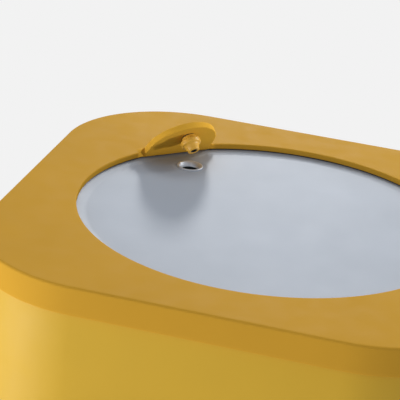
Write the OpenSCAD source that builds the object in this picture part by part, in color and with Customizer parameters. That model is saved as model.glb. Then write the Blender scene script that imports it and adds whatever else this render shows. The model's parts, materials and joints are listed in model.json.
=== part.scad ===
// Free-standing pedestal drinking fountain.
// Origin: on the ground, under the middle of the column. +Z is up, -Y is the front with the push button,
// +Y is the back with the service door, and the spout hood stands over one corner of the bowl.

/* [Lid] */
// Height of the lid's top face above the ground
lid_top_h = 870; // [760:1:1050]
// Side of the square lid
lid_w = 393; // [388:1:480]
// Corner radius of the lid
lid_corner_r = 99; // [80:1:110]
// Height of the lid's skirt
lid_skirt_h = 22; // [20:1:30]
// Thickness of the lid's top plate
lid_t = 4.5; // [3:0.5:6]
// Thickness of the lid's skirt
skirt_t = 5; // [4.5:0.5:8]
// Radius of the round opening over the bowl
opening_r = 150; // [120:1:152]

/* [Spout hood] */
// Compass direction of the hood, seen from above, from +X
spout_angle = 135; // [130:1:140]
// Width of the hood
hood_w = 62; // [50:1:75]
// Length of the hood from the opening's edge to its round end
hood_l = 43; // [40:0.5:60]
// Thickness of the hood
hood_t = 5.5; // [5:0.5:8]
// Lean of the hood above horizontal
hood_lean = 50.5; // [45:0.5:55]
// Radius of the hollow ramp behind the hood
hood_fillet_r = 12; // [4:0.5:16]

/* [Nozzle] */
// Distance of the nozzle from the opening's edge, along the hood
nozzle_at = 27.5; // [24:0.5:32]
// Length of the nozzle below the hood
nozzle_l = 14; // [12:0.5:18]
// Radius of the nozzle's waist ring
nozzle_r = 8.5; // [7:0.5:10]
// Radius of the water jet's hole
orifice_r = 2.5; // [1.5:0.25:3]

/* [Bowl] */
// Sheet thickness of the bowl
bowl_t = 1.5; // [1:0.25:2.5]
// Width of the bowl's flange under the lid
bowl_flange_w = 18; // [14:1:20]
// Fall of the bowl's floor towards the drain
bowl_fall = 1.2; // [1:0.2:6]
// Step from the bowl's flange down to the floor's high side
bowl_step = 0.3; // [0.1:0.1:3]
// Distance of the drain from the opening's edge
drain_inset = 28; // [25:1:60]
// Radius of the drain's flange
drain_flange_r = 11; // [10:0.5:16]
// Radius of the drain's bore
drain_bore_r = 6.5; // [5:0.25:7]

/* [Column] */
// Inset of the column's face from the lid's face
body_inset = 3.5; // [2:0.5:3.5]
// Wall thickness of the column
body_wall = 3; // [2:0.5:4]
// Thickness of the base plate
base_t = 10; // [8:1:16]
// Distance between the anchor holes
anchor_pitch = 260; // [200:1:270]
// Radius of the anchor holes
anchor_r = 7; // [5:0.5:9]

/* [Service door] */
// Height of the door opening's lower edge
door_z = 150; // [120:1:200]
// Height of the door opening
door_h = 420; // [300:1:450]
// Width of the door opening
door_w = 177.2; // [150:0.2:180]
// Gap around the door
door_gap = 2; // [1:0.5:3]

/* [Push button] */
// Height from the button's axis up to the lid's top face
button_drop = 120; // [100:1:150]
// Radius of the push button
button_r = 18; // [14:1:22]
// Travel of the push button
button_travel = 6; // [4:0.5:6]

/* [Pipes] */
// Outer radius of the hoses
hose_r = 7; // [6:0.5:8]
// Radius of the hose barbs
barb_r = 5; // [4:0.25:5.5]
// Outer radius of the water inlet pipe
inlet_r = 10.5; // [9:0.5:13]
// Outer radius of the waste outlet pipe
waste_r = 16; // [14:1:20]

/* [Hidden] */
$fn = 64;

// Finish colours
YELLOW = [0.86, 0.62, 0.18];
STEEL = [0.74, 0.76, 0.79];
BRASS = [0.78, 0.64, 0.36];
ZINC = [0.66, 0.67, 0.68];
BLACK = [0.12, 0.12, 0.13];
GREY = [0.45, 0.46, 0.48];
WHITE = [0.88, 0.88, 0.86];

eps = 0.01;
big = 2000;
slip = 0.05;
thread_gap = 0.1;

// Places worked out from an angle are kept to a hundredth of a millimetre
function snap(v) = round(100 * v) / 100;

// Lid and column heights
plate_z = lid_top_h - lid_t;
skirt_z = lid_top_h - lid_skirt_h;
lid_boss_r = 6;
lid_boss_at = lid_w / 2 - 55.5;
lid_screw_r = 3;
screw_head_h = 4;
body_w = lid_w - 2 * body_inset;
body_r = lid_corner_r - body_inset;
flange_t = 3;
flange_hole_r = opening_r + 26;
front_y = -body_w / 2;
back_y = body_w / 2;
wall_in_y = back_y - body_wall;

// Spout boss under the lid, where the supply enters the hood
boss_out = 14;
boss_r = 9;
boss_bore_r = 5;
channel_r = 1.5;
spout_x = snap((opening_r + boss_out) * cos(spout_angle));
spout_y = snap((opening_r + boss_out) * sin(spout_angle));
nozzle_stem_r = 4;
nozzle_stem_h = 2.2;
nozzle_hole_h = hood_t - 1.2;
nozzle_seal_t = 0.6;
nozzle_collar_r = 6;

// The hood rises from a straight chord across the opening, a little longer than the hood is wide
hood_root = snap(sqrt(opening_r * opening_r - (hood_w / 2 + 1) * (hood_w / 2 + 1)));

// Bowl
gasket_t = 1;
bowl_top = plate_z - gasket_t;
bowl_r = opening_r + 2;
bowl_flange_r = opening_r + bowl_flange_w;
bowl_tilt = atan(bowl_fall / (2 * opening_r));
floor_z = bowl_top - bowl_step - bowl_fall / 2;
stud_at = bowl_flange_r + 4;
stud_r = 2.5;
clamp_t = 3;
clamp_w = 16;
nut_h = 4;
clamp_z = bowl_top - bowl_t - clamp_t;
CLAMP_ANGLES = [0, 60, 120, 180, 240, 300];

// Drain and waste
drain_at = opening_r - drain_inset;
drain_stem_r = drain_bore_r + 2.3;
drain_stem_l = 34;
drain_nut_h = 8;
drain_x = snap(drain_at * cos(spout_angle));
drain_y = snap(drain_at * sin(spout_angle));
drain_z = floor_z - drain_at * tan(bowl_tilt);
tail_bore_r = drain_stem_r + 0.5;
tail_r = tail_bore_r + 2.6;
tail_top = drain_z - 20;
trap_r = 32;
trap_wall = 2.5;
trap_z = 440;
trap_h = 80;
trap_neck_r = 18;
trap_neck_h = 25;
trap_cup_h = 35;
trap_nut_h = 14;
outlet_z = trap_z + 60;
outlet_bend = 22;
waste_wall = 2.5;
waste_x = drain_x + trap_r + outlet_bend + 12;
waste_y = drain_y;
coupling_r = waste_r + 4;
coupling_h = 70;
coupling_seat = 30;
waste_hole_r = coupling_r + 6;

// Service plate inside the column
plate_y = 20;
plate_t = 3;
plate_w = 190;
plate_top = 620;
foot_l = 30;
foot_bolt_r = 4;
FOOT_BOLTS = [-70, 0, 70];
foot_bolt_y = plate_y + 18;
rod_r = 4;
rod_screw_r = 2;

// Water supply
supply_x = 55;
supply_y = 65;
supply_hole_r = inlet_r + 5.5;
pipe_bore_r = 8;
valve_z = 90;
valve_half = 28;
valve_r = 18;
socket_h = 12;
ball_r = 12;
ball_gap = 0.3;
ball_flat = 11;
stem_r = 4;
valve_neck_r = 9;
valve_neck_y = supply_y + 26;
handle_y = valve_neck_y + 2;
handle_t = 5;
handle_l = 95;
handle_w = 16;
grip_l = 60;
grip_t = 2.5;
handle_nut_h = 5;
strainer_z = 130;
strainer_h = 70;
strainer_r = 20;
strainer_in_r = 16;
strainer_floor = 6;
strainer_cap_h = 12;
barb_l = 20;
barb_bore_r = 3;
supply_bend = 35;
supply_run_z = plate_top + 45;

// Push button and self-closing valve
button_z = lid_top_h - button_drop;
button_proud = 3;
button_t = 10;
housing_r = button_r + 2.2;
bezel_r = button_r + 7;
bezel_t = 2;
housing_l = 30;
housing_end_t = 3;
housing_y = front_y + housing_l;
valve_y = housing_y + housing_end_t;
push_stem_r = 5;
chamber_r = 12;
valve_body_r = 22;
valve_front_t = 10;
poppet_at = 20;
poppet_r = 8;
poppet_t = 4;
poppet_y = valve_y + valve_front_t + poppet_at;
chamber_l = poppet_at + poppet_t + button_travel + 4;
valve_cap_t = 6;
port_y = valve_y + 26;
port_r = 8;
port_l = 8;
spring_r = 11;
spring_wire = 0.6;
spring_turns = 5;
spring_steps = 18;
spring_y0 = front_y - button_proud + button_t;
valve_screw_at = 14.6;
spout_bend = 30;
hose_top_z = skirt_z - 12;

// Door
door_hinge_r = 3;
hinge_pin_r = 1.5;
hinge_pin_l = 15;
hinge_x = -door_w / 2 + door_hinge_r + 0.6;
ear_h = 8;
ear_gap = 0.5;
ear_w = 8.6;
door_notch = 6.5;
stop_w = 12;
stop_t = 4;
stop_cover = 6.6;
seal_t = 0.7;
lock_x = 65;
lock_z = door_z + door_h / 2;
lock_r = 9;
core_r = 6;
lock_flange_r = 11.5;
lock_flange_t = 1.5;
lock_back_y = wall_in_y - 4.5;
cam_l = 34;
cam_t = 3;

// ---- Shared shapes ----

module rounded_square(w, r) {
    square([w - 2 * r, w], center = true);
    square([w, w - 2 * r], center = true);
    for (x = [-1, 1], y = [-1, 1])
        translate([x * (w / 2 - r), y * (w / 2 - r)])
            circle(r);
}

// Cylinders along one axis, from a start point
module along_x(p, l, r) {
    translate(p)
        rotate([0, 90, 0])
            cylinder(h = l, r = r);
}

module along_y(p, l, r) {
    translate(p)
        rotate([-90, 0, 0])
            cylinder(h = l, r = r);
}

module along_z(p, l, r) {
    translate(p)
        cylinder(h = l, r = r);
}

module tube(l, r_out, r_in) {
    difference() {
        cylinder(h = l, r = r_out);
        translate([0, 0, -eps])
            cylinder(h = l + 2 * eps, r = r_in);
    }
}

module hex_nut(h, r, bore) {
    difference() {
        cylinder(h = h, r = r, $fn = 6);
        translate([0, 0, -eps])
            cylinder(h = h + 2 * eps, r = bore);
    }
}

// Quarter bend of a tube: it starts at the origin along +Z and turns towards +X
module quarter_bend(bend, r_out, r_in) {
    translate([bend, 0, 0])
        rotate([90, 0, 180])
            rotate_extrude(angle = 90)
                translate([bend, 0])
                    difference() {
                        circle(r_out);
                        circle(r_in);
                    }
}

// Frame of the hood: x up along it, y across it, z out of its back, with the underside at z = 0
module on_hood() {
    rotate([0, 0, spout_angle])
        translate([hood_root, 0, plate_z])
            rotate([0, hood_lean, 0])
                rotate([0, 0, 180])
                    children();
}

// Frame of the bowl's floor at a distance towards the drain
module on_floor(r) {
    translate([0, 0, floor_z])
        rotate([0, 0, spout_angle])
            rotate([0, bowl_tilt, 0])
                translate([r, 0, 0])
                    children();
}

// ---- Lid ----

module hood_outline() {
    translate([-8, -hood_w / 2])
        square([8 + hood_l - hood_w / 2, hood_w]);
    translate([hood_l - hood_w / 2, 0])
        circle(hood_w / 2);
}

// Hollow ramp between the lid's top and the back of the hood, in the plane across the hood's root
module ramp_outline() {
    foot = hood_t / sin(hood_lean) - lid_t / tan(hood_lean);
    reach = hood_fillet_r / tan((180 - hood_lean) / 2);
    difference() {
        polygon([
            [foot, -1],
            [foot + reach, -1],
            [foot + reach, hood_fillet_r],
            [foot - reach * cos(hood_lean), reach * sin(hood_lean)],
            [foot - 2, 0]
        ]);
        translate([foot + reach, hood_fillet_r])
            circle(hood_fillet_r);
    }
}

module hood() {
    difference() {
        on_hood()
            linear_extrude(hood_t)
                hood_outline();
        translate([-big / 2, -big / 2, plate_z - big])
            cube(big);
    }
    rotate([0, 0, spout_angle])
        translate([hood_root, 0, lid_top_h])
            rotate([90, 0, 0])
                translate([0, 0, 0.5 - hood_w / 2])
                    linear_extrude(hood_w - 1)
                        ramp_outline();
}

// Water channel from the boss through the lid's plate and up the hood to the nozzle
module hood_channel() {
    mid_z = lid_top_h - lid_t / 2;
    turn_x = (lid_t / 2 - hood_t / 2 * cos(hood_lean)) / sin(hood_lean);
    turn_r = hood_root - turn_x * cos(hood_lean) + hood_t / 2 * sin(hood_lean);
    rotate([0, 0, spout_angle])
        along_x([turn_r - 1.5, 0, mid_z], opening_r + boss_out + 1.5 - turn_r, channel_r);
    on_hood()
        along_x([turn_x - 0.5, 0, hood_t / 2], nozzle_at - turn_x, channel_r - 0.2);
}

module top_lid() {
    color(YELLOW)
        difference() {
            union() {
                difference() {
                    translate([0, 0, skirt_z])
                        linear_extrude(lid_skirt_h)
                            rounded_square(lid_w, lid_corner_r);
                    translate([0, 0, skirt_z - eps])
                        linear_extrude(lid_skirt_h - lid_t + eps)
                            rounded_square(lid_w - 2 * skirt_t, lid_corner_r - skirt_t);
                    intersection() {
                        along_z([0, 0, skirt_z], lid_skirt_h + eps, opening_r);
                        rotate([0, 0, spout_angle])
                            translate([hood_root - big, -big / 2, 0])
                                cube(big);
                    }
                }
                hood();
                along_z([spout_x, spout_y, skirt_z], lid_skirt_h - lid_t, boss_r);
                for (x = [-1, 1], y = [-1, 1])
                    along_z([x * lid_boss_at, y * lid_boss_at, skirt_z], lid_skirt_h - lid_t, lid_boss_r);
            }
            for (x = [-1, 1], y = [-1, 1])
                along_z([x * lid_boss_at, y * lid_boss_at, skirt_z - eps], 13, lid_screw_r);
            along_z([spout_x, spout_y, skirt_z - eps], lid_skirt_h - lid_t / 2 + 1, boss_bore_r);
            hood_channel();
            on_hood()
                along_z([nozzle_at, 0, -eps], nozzle_hole_h, nozzle_stem_r + slip);
        }
}

module lid_screws() {
    color(ZINC)
        for (x = [-1, 1], y = [-1, 1])
            translate([x * lid_boss_at, y * lid_boss_at, skirt_z - flange_t]) {
                along_z([0, 0, -screw_head_h], screw_head_h, 5.5);
                along_z([0, 0, 0], 14, lid_screw_r - slip);
            }
}

module spout_nozzle() {
    tip = nozzle_l;
    color(YELLOW)
        on_hood()
            translate([nozzle_at, 0, 0])
                rotate([180, 0, 0])
                    rotate_extrude()
                        polygon([
                            [channel_r, -nozzle_stem_h],
                            [nozzle_stem_r, -nozzle_stem_h],
                            [nozzle_stem_r, nozzle_seal_t],
                            [nozzle_collar_r, nozzle_seal_t],
                            [nozzle_collar_r, 3.5],
                            [nozzle_r, 4.5],
                            [nozzle_r, 8],
                            [nozzle_r - 1.5, 9],
                            [orifice_r + 2.4, tip - 1],
                            [orifice_r + 1.5, tip],
                            [orifice_r, tip],
                            [orifice_r, tip - 6],
                            [channel_r, tip - 7]
                        ]);
}

module nozzle_seal() {
    color(BLACK)
        on_hood()
            translate([nozzle_at, 0, -nozzle_seal_t])
                tube(nozzle_seal_t, nozzle_collar_r - 0.5, nozzle_stem_r + slip);
}

module spout_adapter() {
    color(BRASS)
        translate([spout_x, spout_y, hose_top_z])
            difference() {
                union() {
                    along_z([0, 0, -8], skirt_z - hose_top_z + 8, boss_r);
                    along_z([0, 0, 0], skirt_z - hose_top_z + 10, boss_bore_r - thread_gap / 2);
                    along_y([0, -boss_r - barb_l, 0], barb_l + 4, barb_r);
                }
                along_z([0, 0, -3], 60, barb_bore_r);
                along_y([0, -boss_r - barb_l - eps, 0], barb_l + boss_r, barb_bore_r);
            }
}

// ---- Bowl and drain ----

module bowl() {
    wall_z = floor_z - bowl_fall;
    color(STEEL)
        difference() {
            union() {
                translate([0, 0, bowl_top - bowl_t])
                    tube(bowl_t, bowl_flange_r, bowl_r);
                translate([0, 0, wall_z])
                    tube(bowl_top - wall_z, bowl_r + bowl_t, bowl_r);
                intersection() {
                    along_z([0, 0, wall_z - 10], 30, bowl_r + bowl_t / 2);
                    on_floor(0)
                        translate([-big / 2, -big / 2, -bowl_t])
                            cube([big, big, bowl_t]);
                }
            }
            on_floor(0)
                translate([-big / 2, -big / 2, -bowl_t - 20])
                    cube([big, big, 20]);
            on_floor(drain_at)
                translate([0, 0, -10])
                    cylinder(h = 20, r = drain_stem_r + thread_gap);
            along_z([spout_x, spout_y, skirt_z], lid_skirt_h, boss_r + 1);
        }
}

module bowl_gasket() {
    color(BLACK)
        translate([0, 0, bowl_top])
            tube(gasket_t, opening_r + 4.5, opening_r + 1.5);
}

module at_clamps() {
    for (a = CLAMP_ANGLES)
        rotate([0, 0, a])
            translate([stud_at, 0, 0])
                children();
}

module bowl_studs() {
    color(ZINC)
        at_clamps()
            along_z([0, 0, clamp_z - nut_h - 1], plate_z - clamp_z + nut_h + 1, stud_r);
}

module bowl_clamps() {
    color(ZINC)
        at_clamps()
            difference() {
                union() {
                    translate([-12, -clamp_w / 2, clamp_z])
                        cube([19, clamp_w, clamp_t]);
                    translate([4, -clamp_w / 2, clamp_z])
                        cube([3, clamp_w, plate_z - clamp_z]);
                }
                along_z([0, 0, clamp_z - eps], 30, stud_r + thread_gap);
            }
}

module bowl_nuts() {
    color(ZINC)
        at_clamps()
            translate([0, 0, clamp_z - nut_h])
                hex_nut(nut_h, 4.6, stud_r + slip);
}

module drain_fitting() {
    color(STEEL)
        on_floor(drain_at)
            rotate_extrude()
                polygon([
                    [drain_bore_r, -drain_stem_l],
                    [drain_stem_r, -drain_stem_l],
                    [drain_stem_r, 0],
                    [drain_flange_r, 0],
                    [drain_flange_r - 0.5, 0.8],
                    [drain_flange_r - 1.8, 0.8],
                    [drain_bore_r, -3.5]
                ]);
}

module drain_gasket() {
    color(BLACK)
        on_floor(drain_at)
            translate([0, 0, -bowl_t - 1.5])
                tube(1.5, 14.5, drain_stem_r + thread_gap);
}

module drain_nut() {
    color(BRASS)
        on_floor(drain_at)
            translate([0, 0, -bowl_t - 1.5 - drain_nut_h])
                hex_nut(drain_nut_h, 17, drain_stem_r + thread_gap);
}

module waste_pipe() {
    dip = trap_z + 18;
    color(WHITE)
        translate([drain_x, drain_y, dip])
            tube(tail_top - dip, tail_r, tail_bore_r);
}

module trap_nut() {
    color(WHITE)
        translate([drain_x, drain_y, trap_z + trap_h + trap_neck_h])
            hex_nut(trap_nut_h, 21, tail_r + slip);
}

module trap_body() {
    wall_r = trap_r - trap_wall;
    color(WHITE)
        translate([drain_x, drain_y, trap_z])
            difference() {
                union() {
                    cylinder(h = trap_h, r = trap_r);
                    along_z([0, 0, trap_h], trap_neck_h, trap_neck_r);
                    along_x([trap_r - 6, 0, outlet_z - trap_z], 12, waste_r + 4);
                }
                along_z([0, 0, -eps], trap_h - 3, wall_r);
                along_z([0, 0, 0], trap_h + trap_neck_h + 1, tail_r + 0.2);
                along_x([0, 0, outlet_z - trap_z], trap_r, waste_r - waste_wall);
                along_x([trap_r - 1, 0, outlet_z - trap_z], 20, waste_r + slip);
            }
}

module trap_cup() {
    wall_r = trap_r - trap_wall;
    color(WHITE)
        translate([drain_x, drain_y, trap_z - trap_cup_h])
            difference() {
                union() {
                    cylinder(h = trap_cup_h, r = trap_r);
                    cylinder(h = trap_cup_h + 8, r = wall_r - slip);
                    cylinder(h = 10, r = trap_r + 3, $fn = 8);
                }
                along_z([0, 0, 3], trap_cup_h + 10, wall_r - 2.5);
            }
}

module waste_outlet() {
    start = drain_x + trap_r;
    bend_z = outlet_z - outlet_bend;
    color(WHITE) {
        difference() {
            along_x([start, waste_y, outlet_z], waste_x - outlet_bend - start, waste_r);
            along_x([start - 1, waste_y, outlet_z], waste_x - start, waste_r - waste_wall);
        }
        translate([waste_x, waste_y, bend_z])
            mirror([1, 0, 0])
                quarter_bend(outlet_bend, waste_r, waste_r - waste_wall);
        translate([waste_x, waste_y, coupling_seat])
            tube(bend_z - coupling_seat, waste_r, waste_r - waste_wall);
    }
}

// A ring round an upright pipe, with a rod back to the service plate
module pipe_clip(p, pipe_r) {
    rod_y = plate_y + plate_t;
    ring_r = pipe_r + 3;
    difference() {
        union() {
            along_z([p[0], p[1], p[2] - 7], 14, ring_r);
            along_y([p[0], rod_y, p[2]], p[1] - rod_y - pipe_r, rod_r);
        }
        along_z([p[0], p[1], p[2] - 8], 16, pipe_r + slip);
        along_y([p[0], rod_y - eps, p[2]], 10.5, rod_screw_r + slip);
    }
}

WASTE_CLIPS = [[waste_x, waste_y, 200], [waste_x, waste_y, 400], [drain_x, drain_y, 595]];
SUPPLY_CLIPS = [[supply_x, supply_y, 170], [supply_x, supply_y, 400], [supply_x, supply_y, 595]];
WASTE_CLIP_R = [waste_r, waste_r, tail_r];
SUPPLY_CLIP_R = [strainer_r, hose_r, hose_r];

module waste_clips() {
    color(ZINC)
        for (i = [0:2])
            pipe_clip(WASTE_CLIPS[i], WASTE_CLIP_R[i]);
}

module supply_clips() {
    color(ZINC)
        for (i = [0:2])
            pipe_clip(SUPPLY_CLIPS[i], SUPPLY_CLIP_R[i]);
}

module clip_screws() {
    color(ZINC)
        for (p = concat(WASTE_CLIPS, SUPPLY_CLIPS)) {
            along_y([p[0], plate_y - 4, p[2]], 4, 5);
            along_y([p[0], plate_y - eps, p[2]], plate_t + 10, rod_screw_r);
        }
}

module outlet_coupling() {
    color(BLACK)
        difference() {
            along_z([waste_x, waste_y, 0], coupling_h, coupling_r);
            along_z([waste_x, waste_y, -1], coupling_h, waste_r - waste_wall);
            along_z([waste_x, waste_y, coupling_seat], coupling_h, waste_r + slip);
        }
}

// ---- Column ----

module door_stops() {
    half = door_w / 2;
    for (z = [door_z - stop_w + stop_cover, door_z + door_h - stop_cover])
        difference() {
            translate([-half + 18, wall_in_y - stop_t, z])
                cube([door_w - 18 + stop_w - stop_cover, stop_t, stop_w]);
            translate([-half, wall_in_y - 1, door_z])
                cube([door_w, 10, door_h]);
        }
    difference() {
        translate([half - stop_cover, wall_in_y - stop_t, door_z - stop_w + stop_cover])
            cube([stop_w, stop_t, door_h + 2 * (stop_w - stop_cover)]);
        translate([-half, wall_in_y - 1, door_z])
            cube([door_w, 10, door_h]);
    }
}

module column_shell() {
    half = door_w / 2;
    ear_y = wall_in_y - door_hinge_r;
    color(YELLOW)
        difference() {
            union() {
                difference() {
                    translate([0, 0, base_t])
                        linear_extrude(skirt_z - base_t)
                            rounded_square(body_w, body_r);
                    translate([0, 0, base_t - eps])
                        linear_extrude(skirt_z - base_t - flange_t + eps)
                            rounded_square(body_w - 2 * body_wall, body_r - body_wall);
                    along_z([0, 0, skirt_z - 10], 20, flange_hole_r);
                    translate([-half, wall_in_y - 1, door_z])
                        cube([door_w, 10, door_h]);
                }
                for (z = [door_z, door_z + door_h - ear_h])
                    translate([-half, ear_y, z])
                        cube([ear_w, back_y - ear_y, ear_h]);
                for (z = [door_z - 6, door_z + door_h - ear_h])
                    translate([-half - 6, ear_y, z])
                        cube([ear_w + 6, door_hinge_r, ear_h + 6]);
                door_stops();
            }
            for (z = [door_z - 7, door_z + door_h - ear_h - eps])
                along_z([hinge_x, wall_in_y, z], ear_h + 7 + 2 * eps, hinge_pin_r + slip / 2);
            along_y([0, front_y - 1, button_z], body_wall + 2, housing_r + slip);
            for (x = [-1, 1], y = [-1, 1])
                along_z([x * lid_boss_at, y * lid_boss_at, skirt_z - flange_t - 1], flange_t + 2, lid_screw_r + 0.3);
        }
}

module base_plate() {
    color(GREY)
        difference() {
            linear_extrude(base_t)
                rounded_square(body_w, body_r);
            for (x = [-1, 1], y = [-1, 1])
                along_z([x * anchor_pitch / 2, y * anchor_pitch / 2, -1], base_t + 2, anchor_r);
            along_z([supply_x, supply_y, -1], base_t + 2, supply_hole_r);
            along_z([waste_x, waste_y, -1], base_t + 2, waste_hole_r);
            for (x = FOOT_BOLTS)
                along_z([x, foot_bolt_y, 2], base_t, foot_bolt_r);
        }
}

module service_plate() {
    color(ZINC)
        difference() {
            union() {
                translate([-plate_w / 2, plate_y, base_t])
                    cube([plate_w, plate_t, plate_top - base_t]);
                translate([-plate_w / 2, plate_y, base_t])
                    cube([plate_w, foot_l, plate_t]);
            }
            for (x = FOOT_BOLTS)
                along_z([x, foot_bolt_y, base_t - 1], plate_t + 2, foot_bolt_r + 0.3);
            along_z([waste_x, waste_y, base_t - 1], plate_t + 2, waste_hole_r);
            for (p = concat(WASTE_CLIPS, SUPPLY_CLIPS))
                along_y([p[0], plate_y - 1, p[2]], plate_t + 2, rod_screw_r + 0.2);
        }
}

module plate_bolts() {
    color(ZINC)
        for (x = FOOT_BOLTS)
            translate([x, foot_bolt_y, base_t + plate_t]) {
                cylinder(h = 5, r = 7, $fn = 6);
                along_z([0, 0, -9], 10, foot_bolt_r - slip);
            }
}

// ---- Water supply ----

module inlet_nipple() {
    color(BRASS)
        translate([supply_x, supply_y, 0])
            difference() {
                union() {
                    cylinder(h = valve_z - valve_half + socket_h, r = inlet_r);
                    along_z([0, 0, valve_z - valve_half - 12], 12, inlet_r + 2);
                }
                along_z([0, 0, -1], 200, pipe_bore_r);
            }
}

module shutoff_body() {
    color(BRASS)
        difference() {
            union() {
                along_z([supply_x, supply_y, valve_z - valve_half], 2 * valve_half, valve_r);
                along_y([supply_x, supply_y, valve_z], valve_neck_y - supply_y, valve_neck_r);
            }
            along_z([supply_x, supply_y, valve_z - valve_half - 1], 2 * valve_half + 2, pipe_bore_r);
            for (z = [valve_z - valve_half - 1, valve_z + valve_half - socket_h])
                along_z([supply_x, supply_y, z], socket_h + 1, inlet_r + thread_gap);
            translate([supply_x, supply_y, valve_z])
                sphere(ball_r + ball_gap);
            along_y([supply_x, supply_y, valve_z], valve_neck_y, stem_r + slip);
        }
}

module shutoff_ball() {
    color(STEEL)
        translate([supply_x, supply_y, valve_z])
            difference() {
                sphere(ball_r);
                along_z([0, 0, -ball_r - 1], 2 * ball_r + 2, pipe_bore_r - 0.5);
                translate([-ball_r, ball_flat, -ball_r])
                    cube(2 * ball_r);
                translate([-1.6, ball_flat - 2.5, -ball_r])
                    cube([3.2, 10, 2 * ball_r]);
            }
}

module shutoff_stem() {
    color(STEEL)
        translate([supply_x, supply_y, valve_z]) {
            along_y([0, ball_flat + 0.1, 0], handle_y + handle_t + handle_nut_h + 1 - supply_y - ball_flat, stem_r);
            translate([-1.5, ball_flat - 2.3, -2.8])
                cube([3, 3, 5.6]);
        }
}

module shutoff_handle() {
    color(ZINC)
        translate([supply_x, handle_y, valve_z])
            difference() {
                union() {
                    along_y([0, 0, 0], handle_t, 11);
                    translate([-handle_w / 2, 0, 0])
                        cube([handle_w, handle_t, handle_l]);
                }
                along_y([0, -1, 0], handle_t + 2, stem_r + slip);
            }
}

module handle_grip() {
    color([0.75, 0.12, 0.1])
        translate([supply_x, handle_y + handle_t / 2, valve_z + handle_l - grip_l + 4])
            difference() {
                linear_extrude(grip_l)
                    square([handle_w + 2 * grip_t, handle_t + 2 * grip_t], center = true);
                translate([0, 0, -1])
                    linear_extrude(grip_l + 1 - 4)
                        square([handle_w + 2 * slip, handle_t + 2 * slip], center = true);
            }
}

module handle_nut() {
    color(ZINC)
        translate([supply_x, handle_y + handle_t, valve_z])
            rotate([-90, 0, 0])
                hex_nut(handle_nut_h, 7, stem_r + slip);
}

module strainer_body() {
    color(BRASS)
        translate([supply_x, supply_y, strainer_z])
            difference() {
                union() {
                    cylinder(h = strainer_h, r = strainer_r);
                    along_z([0, 0, valve_z + valve_half - socket_h - strainer_z],
                        strainer_z - valve_z - valve_half + socket_h, inlet_r);
                }
                along_z([0, 0, strainer_floor], strainer_h, strainer_in_r);
                along_z([0, 0, -60], 80, pipe_bore_r);
            }
}

module strainer_screen() {
    color(STEEL)
        translate([supply_x, supply_y, strainer_z + strainer_floor])
            tube(strainer_h - strainer_floor - 8, 12.6, 12);
}

module strainer_cap() {
    color(BRASS)
        translate([supply_x, supply_y, strainer_z + strainer_h])
            difference() {
                union() {
                    cylinder(h = strainer_cap_h, r = strainer_r, $fn = 6);
                    along_z([0, 0, -8], 9, strainer_in_r - slip);
                    along_z([0, 0, strainer_cap_h], barb_l, barb_r);
                }
                along_z([0, 0, -9], 60, barb_bore_r);
            }
}

// Hose from the strainer, over the service plate, to the valve's lower port
module supply_hose() {
    z0 = strainer_z + strainer_h + strainer_cap_h + 2;
    z1 = button_z - valve_body_r - port_l - 2;
    dx = -supply_x;
    dy = port_y - supply_y;
    run = sqrt(dx * dx + dy * dy);
    bore = barb_r + slip;
    color(BLACK)
        translate([supply_x, supply_y, 0])
            rotate([0, 0, atan2(dy, dx)]) {
                translate([0, 0, z0])
                    tube(supply_run_z - supply_bend - z0, hose_r, bore);
                translate([0, 0, supply_run_z - supply_bend])
                    quarter_bend(supply_bend, hose_r, bore);
                translate([supply_bend, 0, supply_run_z])
                    rotate([0, 90, 0])
                        tube(run - 2 * supply_bend, hose_r, bore);
                translate([run, 0, supply_run_z + supply_bend])
                    rotate([180, 0, 180])
                        quarter_bend(supply_bend, hose_r, bore);
                translate([run, 0, supply_run_z + supply_bend])
                    tube(z1 - supply_run_z - supply_bend, hose_r, bore);
            }
}

// Hose from the valve's side port, up inside the wall and back to the spout
module spout_hose() {
    x0 = -valve_body_r - port_l - 2;
    rise = hose_top_z - button_z - 2 * spout_bend;
    bore = barb_r + slip;
    color(BLACK) {
        translate([spout_x + spout_bend, port_y, button_z])
            rotate([0, 90, 0])
                tube(x0 - spout_x - spout_bend, hose_r, bore);
        translate([spout_x, port_y, button_z + spout_bend])
            rotate([180, 0, 0])
                quarter_bend(spout_bend, hose_r, bore);
        translate([spout_x, port_y, button_z + spout_bend])
            tube(rise, hose_r, bore);
        translate([spout_x, port_y, hose_top_z - spout_bend])
            rotate([0, 0, 90])
                quarter_bend(spout_bend, hose_r, bore);
        translate([spout_x, port_y + spout_bend, hose_top_z])
            rotate([-90, 0, 0])
                tube(spout_y - boss_r - 2 - port_y - spout_bend, hose_r, bore);
    }
}

module hose_clamp() {
    tube(8, hose_r + 1.4, hose_r + slip);
    translate([hose_r + 0.6, -4, 0])
        cube([4, 8, 8]);
}

module hose_clamps() {
    color(ZINC) {
        translate([supply_x, supply_y, strainer_z + strainer_h + strainer_cap_h + 6])
            hose_clamp();
        translate([0, port_y, button_z - valve_body_r - port_l - 16])
            hose_clamp();
        translate([-valve_body_r - port_l - 16, port_y, button_z])
            rotate([0, 90, 0])
                hose_clamp();
        translate([spout_x, spout_y - boss_r - 16, hose_top_z])
            rotate([-90, 0, 0])
                hose_clamp();
    }
}

// ---- Push button and self-closing valve ----

module button_housing() {
    color(ZINC)
        translate([0, front_y, button_z])
            difference() {
                union() {
                    along_y([0, -bezel_t, 0], bezel_t, bezel_r);
                    along_y([0, -bezel_t, 0], bezel_t + housing_l + housing_end_t, housing_r);
                }
                along_y([0, -bezel_t - 1, 0], bezel_t + housing_l + 1, button_r + slip);
                along_y([0, 0, 0], 60, push_stem_r + slip);
                for (x = [-1, 1])
                    along_y([x * valve_screw_at, housing_l - 1, 0], 10, 2.2);
            }
}

module housing_nut() {
    color(ZINC)
        translate([0, front_y + body_wall, button_z])
            rotate([-90, 0, 0])
                hex_nut(8, housing_r + 8, housing_r + slip);
}

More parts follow.
